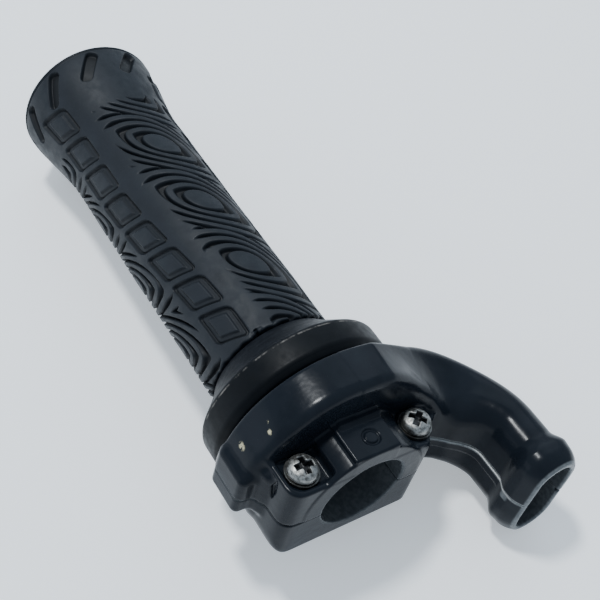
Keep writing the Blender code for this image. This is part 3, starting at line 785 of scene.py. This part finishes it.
def make_grip(rubber, along_steps, round_steps):
    """The sleeve as rows of points round the grip: the pattern is relief in the radius."""
    start = SLEEVE_LOW[0]
    end = SLEEVE_HIGH[0]
    xs = np.linspace(start + 0.9, end - 0.5, along_steps)
    angles = np.arange(round_steps) * 360.0 / round_steps
    x, angle = np.meshgrid(xs, angles, indexing="ij")
    flare = FLARE * (1 - smooth_step(FLARE_BACK, FLARE_FRONT, x))
    depth = np.maximum(grooves(x, angle), sunk_frames(x, angle))
    depth = np.maximum(depth, end_slots(x, angle))
    lip = 1 - smooth_step(0.15, 0.45, np.abs(x - LIP_X))
    domed = 3.5 * np.clip((DOME_START - x) / 3.1, 0, 1) ** 1.3
    turn = np.radians(angle)
    uneven = 0.05 * np.sin(turn * 3 + x * 0.11) + 0.04 * np.sin(x * 0.31 + turn)
    radius = BASE_RADIUS - 0.08 + flare - domed + uneven - GROOVE_DEPTH * depth - 0.35 * lip
    ragged = smooth_step(end - 1.6, end - 0.5, x)
    tear = np.exp(-((angle - 117) / 4.0) ** 2) * (0.7 + 0.3 * np.sin(angle * 1.3))
    radius = radius - ragged * tear * 0.8
    x = x - ragged * (0.12 * np.sin(turn * 17) + 0.10 * np.sin(turn * 31) + tear * 0.9)
    hole = np.full(round_steps, HOLE_RADIUS)
    first = radius[0]
    last_x = x[-1]
    last = radius[-1]
    start_edge = [(np.full(round_steps, start), hole), (np.full(round_steps, start), first - 0.9),
                  (np.full(round_steps, start + 0.12), first - 0.35),
                  (np.full(round_steps, start + 0.45), first - 0.05)]
    end_edge = [(last_x + 0.32, last - 0.12), (last_x + 0.46, last - 0.5),
                (last_x + 0.46, last - 1.6), (last_x + 0.40, hole)]
    rows = start_edge + list(zip(x, radius)) + end_edge
    theta = np.radians(angles)
    points = np.concatenate([np.stack([row_x, row_radius * np.cos(theta), row_radius * np.sin(theta)],
                                      axis=-1) for row_x, row_radius in rows])
    count = len(rows)
    index = np.arange(count * round_steps).reshape(count, round_steps)
    after = np.roll(index, -1, axis=0)
    quads = np.stack([index, np.roll(index, -1, axis=1), np.roll(after, -1, axis=1), after], axis=-1)
    grip = mesh_object("visual_grip_sleeve", points * MM, quads.reshape(-1, 4))
    # painted shade: the relief depth is kept to darken the recesses
    depth_for_painted_shade = np.concatenate([np.zeros(len(start_edge) * round_steps), depth.ravel(),
                           np.zeros(len(end_edge) * round_steps)])
    add_attribute(grip, "depth", depth_for_painted_shade)
    grip.data.materials.append(rubber)
    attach(grip, "twist_grip")
    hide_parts("grip_sleeve")


def collar_rubber(ridge_x):
    """Matt black, lighter and streaked on the cone, with a thin painted highlight line along the
    flange's outer edge.
    """
    n = Nodes("collar_rubber")
    x = n.add("ShaderNodeSeparateXYZ", {"Vector": n.place}).outputs["X"]
    cone = n.ramp(x, (ridge_x + 0.5) * MM, (ridge_x - 1.0) * MM)
    streaks = n.add("ShaderNodeMapping", {"Vector": n.place, "Scale": (1.0, 0.22, 0.22)}).outputs[0]
    streak = n.add("ShaderNodeTexNoise", {"Vector": streaks, "Scale": 1 / (0.8 * MM),
                                          "Detail": 4.0}).outputs[0]
    cloud = n.ramp(n.noise(7.0, 5.0, 0.6), 0.3, 0.7)
    colour = n.mix(cloud, (0.0016, 0.0024, 0.0036), (0.0030, 0.0042, 0.0058))
    # lighter, streaked colour on the cone
    cone_lighter = n.math("MULTIPLY", cone, n.ramp(streak, 0.35, 0.7, 0.25, 0.75))
    colour = n.mix(cone_lighter, colour, (0.011, 0.013, 0.017))
    # painted highlight: a light line along the flange's outer edge
    near = n.math("ABSOLUTE", n.math("SUBTRACT", x, (ridge_x + 0.15) * MM))
    patches = n.ramp(n.noise(3.0, 4.0, 0.7), 0.42, 0.66)
    painted_ridge_highlight = n.math("MULTIPLY", n.ramp(near, 0.30 * MM, 0.05 * MM), patches)
    colour = n.mix(n.math("MULTIPLY", painted_ridge_highlight, 0.8), colour, (0.20, 0.185, 0.17))
    rough = n.ramp(n.noise(2.0, 4.0, 0.6), 0.3, 0.7, 0.38, 0.52)
    grain = n.bump(n.noise(0.3, 3.0, 0.6), 0.015, 0.5)
    return n.finish(colour, rough, grain, IOR=1.20)


def make_collar():
    """A cone against the grip and a thick flange beside the housing, hollow inside."""
    back = COLLAR_LOW[0]
    front = COLLAR_HIGH[0]
    rim = COLLAR_HIGH[1]
    outline = [(back, TUBE_HOLE_RADIUS), (back, 16.4)] + arc(back + 0.8, 16.5, 0.8, 180, 130, 5)
    outline += [(back + 2.6, 18.9), (back + 5.4, 21.7), (back + 7.3, 23.7)]
    outline += arc(back + 9.1, rim - 1.1, 1.1, 140, 90, 7) + [(back + 12.5, rim)]
    outline += arc(front - 3.1, rim - 2.0, 2.0, 90, 45, 7) + arc(front - 2.6, rim - 2.6, 2.5, 40, 0, 7)
    outline += [(front - 0.1, 22.3), (front - 5.6, 22.6), (front - 9.6, 16.6),
                (front - 11.1, TUBE_HOLE_RADIUS)]
    collar = turned("visual_dust_collar", outline, 256)
    collar.data.materials.append(collar_rubber(back + 9.1))
    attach(collar, "twist_grip")
    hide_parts("dust_collar")


def make_end_ring(rubber):
    """The narrow ring between the domed end of the sleeve and the plug."""
    low = RING_LOW[0]
    high = RING_HIGH[0]
    outline = [(high, 16.0)] + arc(low + 1.0, 14.9, 1.0, 60, 170, 7)
    outline += [(low + 0.35, 14.7), (low + 0.35, 14.3), (low, 14.1), (low, 13.6), (high, 13.6)]
    ring = turned("visual_end_ring", outline, 256)
    add_attribute(ring, "depth", np.zeros(len(ring.data.vertices)))
    ring.data.materials.append(rubber)
    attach(ring, "twist_grip")
    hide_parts("end_ring")


def make_end_plug(plastic):
    """The plug in the tube's outer end, with a shallow dish in its face."""
    low = PLUG_LOW[0]
    high = PLUG_HIGH[0]
    outline = [(high, 0.04), (high, 10.4)] + arc(high - 0.6, 10.5, 0.6, 0, 90, 5)
    outline += [(TUBE_BACK - 0.3, 11.1), (TUBE_BACK - 0.3, 13.1)]
    outline += arc(low + 1.0, 12.1, 1.0, 90, 180, 7)
    outline += [(low, 9.2), (low + 0.5, 8.8), (low + 0.5, 2.6), (low + 0.2, 2.2), (low + 0.2, 0.04)]
    plug = turned("visual_tube_end_plug", outline, 128)
    plug.data.materials.append(plastic)
    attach(plug, "twist_grip")
    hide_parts("tube_end_plug")


def finish_cad_nodes():
    """Procedural materials on the CAD nodes whose shape is kept."""
    white = nylon()
    brass = plain_metal("brass", (0.60, 0.45, 0.20), (0.36, 0.25, 0.10))
    aluminium = plain_metal("cast_aluminium", (0.62, 0.63, 0.64), (0.36, 0.37, 0.38))
    # painted light: the tube and the ferrule seat are lighter than their dark plastic, for light
    # reaching into the bore and mouth
    tube_with_painted_light = matt_plastic("tube_plastic_painted_light", (0.085, 0.090, 0.100), (0.050, 0.054, 0.062))
    seat_with_painted_light = matt_plastic("seat_plastic_painted_light", (0.11, 0.115, 0.12), (0.035, 0.037, 0.040))
    dull = plain_metal("dull_steel", (0.14, 0.14, 0.135), (0.05, 0.05, 0.048), 1.4)
    finishes = {
        "screw_washer_left": dull, "screw_washer_right": dull,
        "thread_insert_left": brass, "thread_insert_right": brass,
        "locating_dowel_ear": dull, "locating_dowel_elbow": dull,
        "cable_conduit_open": white, "cable_conduit_close": white,
        "ferrule_seat": seat_with_painted_light, "thrust_washer_outer": white, "thrust_washer_inner": white,
        "throttle_tube": tube_with_painted_light, "cable_drum": aluminium, "drum_pin_a": dull, "drum_pin_b": dull,
    }
    for node, finish in finishes.items():
        mesh = frame["nodes"][node].data
        mesh.materials.clear()
        mesh.materials.append(finish)


# ------------------------------------------------------------------ studio


CAMERA_PLACE = Vector((0.0823, -0.1226, 0.2001))
CAMERA_RIGHT = Vector((0.5219, 0.8248, 0.2175))
CAMERA_BACK = Vector((0.4959, -0.5009, 0.7094))
CAMERA_LENS = 62.9


def make_camera():
    data = bpy.data.cameras.new("camera")
    data.lens = CAMERA_LENS
    data.sensor_width = 36
    data.clip_start = 0.01
    data.clip_end = 20
    camera = bpy.data.objects.new("camera", data)
    back = CAMERA_BACK.normalized()
    right = (CAMERA_RIGHT - back * CAMERA_RIGHT.dot(back)).normalized()
    up = back.cross(right)
    turn = Matrix((right, up, back)).transposed().to_4x4()
    camera.matrix_world = Matrix.Translation(CAMERA_PLACE) @ turn
    bpy.context.scene.collection.objects.link(camera)
    bpy.context.scene.camera = camera


FLOOR_NORMAL = Vector((0.0536, -0.245, 1.0)).normalized()


def lowest_level():
    """How far the pieces reach below the origin along the floor's normal."""
    level = 0.0
    for obj in bpy.context.scene.objects:
        if obj.type == "MESH":
            turn = np.array(obj.matrix_world)
            places = point_places(obj) @ turn[:3, :3].T + turn[:3, 3]
            level = min(level, float((places @ np.array(FLOOR_NORMAL)).min()))
    return level


def make_floor():
    """A plain pale floor that the object lies on."""
    shape = bmesh.new()
    bmesh.ops.create_grid(shape, x_segments=1, y_segments=1, size=3.0)
    mesh = bpy.data.meshes.new("floor")
    shape.to_mesh(mesh)
    shape.free()
    floor = bpy.data.objects.new("floor", mesh)
    floor.rotation_mode = "QUATERNION"
    floor.rotation_quaternion = FLOOR_NORMAL.to_track_quat("Z", "Y")
    floor.location = FLOOR_NORMAL * lowest_level()
    bpy.context.scene.collection.objects.link(floor)
    pale = bpy.data.materials.new("pale_floor")
    pale.use_nodes = True
    shader = pale.node_tree.nodes["Principled BSDF"]
    shader.inputs["Base Color"].default_value = (0.84, 0.86, 0.88, 1)
    shader.inputs["Roughness"].default_value = 0.9
    shader.inputs["Emission Color"].default_value = (0.92, 0.97, 1.0, 1)
    shader.inputs["Emission Strength"].default_value = 0.42
    mesh.materials.append(pale)


def softbox(name, direction, distance, size, power, colour):
    """An area light aimed at the middle of the object."""
    data = bpy.data.lights.new(name, "AREA")
    data.shape = "ELLIPSE"
    data.size = size[0]
    data.size_y = size[1]
    data.energy = power
    data.color = colour
    light = bpy.data.objects.new(name, data)
    target = Vector((-0.05, 0.0, 0.0))
    direction = Vector(direction).normalized()
    light.location = target + direction * distance
    light.rotation_mode = "QUATERNION"
    light.rotation_quaternion = direction.to_track_quat("Z", "Y")
    bpy.context.scene.collection.objects.link(light)


def make_lights():
    world = bpy.data.worlds.new("studio")
    bpy.context.scene.world = world
    world.use_nodes = True
    backdrop = world.node_tree.nodes["Background"]
    backdrop.inputs["Color"].default_value = (0.70, 0.84, 1.0, 1)
    backdrop.inputs["Strength"].default_value = 0.72
    softbox("key_light", (-0.25, -0.27, 0.93), 0.9, (0.12, 0.12), 7.0, (0.95, 0.98, 1.0))
    softbox("side_fill", (-0.50, -0.85, 0.14), 1.2, (1.6, 0.7), 2.3, (0.88, 0.94, 1.0))
    softbox("top_fill", (-0.50, 0.45, 0.74), 1.3, (1.1, 1.1), 3.0, (0.78, 0.89, 1.0))


def main():
    make_camera()
    make_lights()
    paint = painted_black()
    rubber = moulded_rubber()
    plastic = matt_plastic("matt_plastic", (0.0085, 0.0098, 0.0118), (0.0048, 0.0056, 0.0070))
    steel = worn_steel()
    make_housing(paint, 0.32)
    make_screws(steel, 0.08)
    along_steps, round_steps = ((620, 700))
    make_grip(rubber, along_steps, round_steps)
    make_collar()
    make_end_ring(rubber)
    make_end_plug(plastic)
    finish_cad_nodes()
    bpy.context.view_layer.update()
    make_floor()


main()
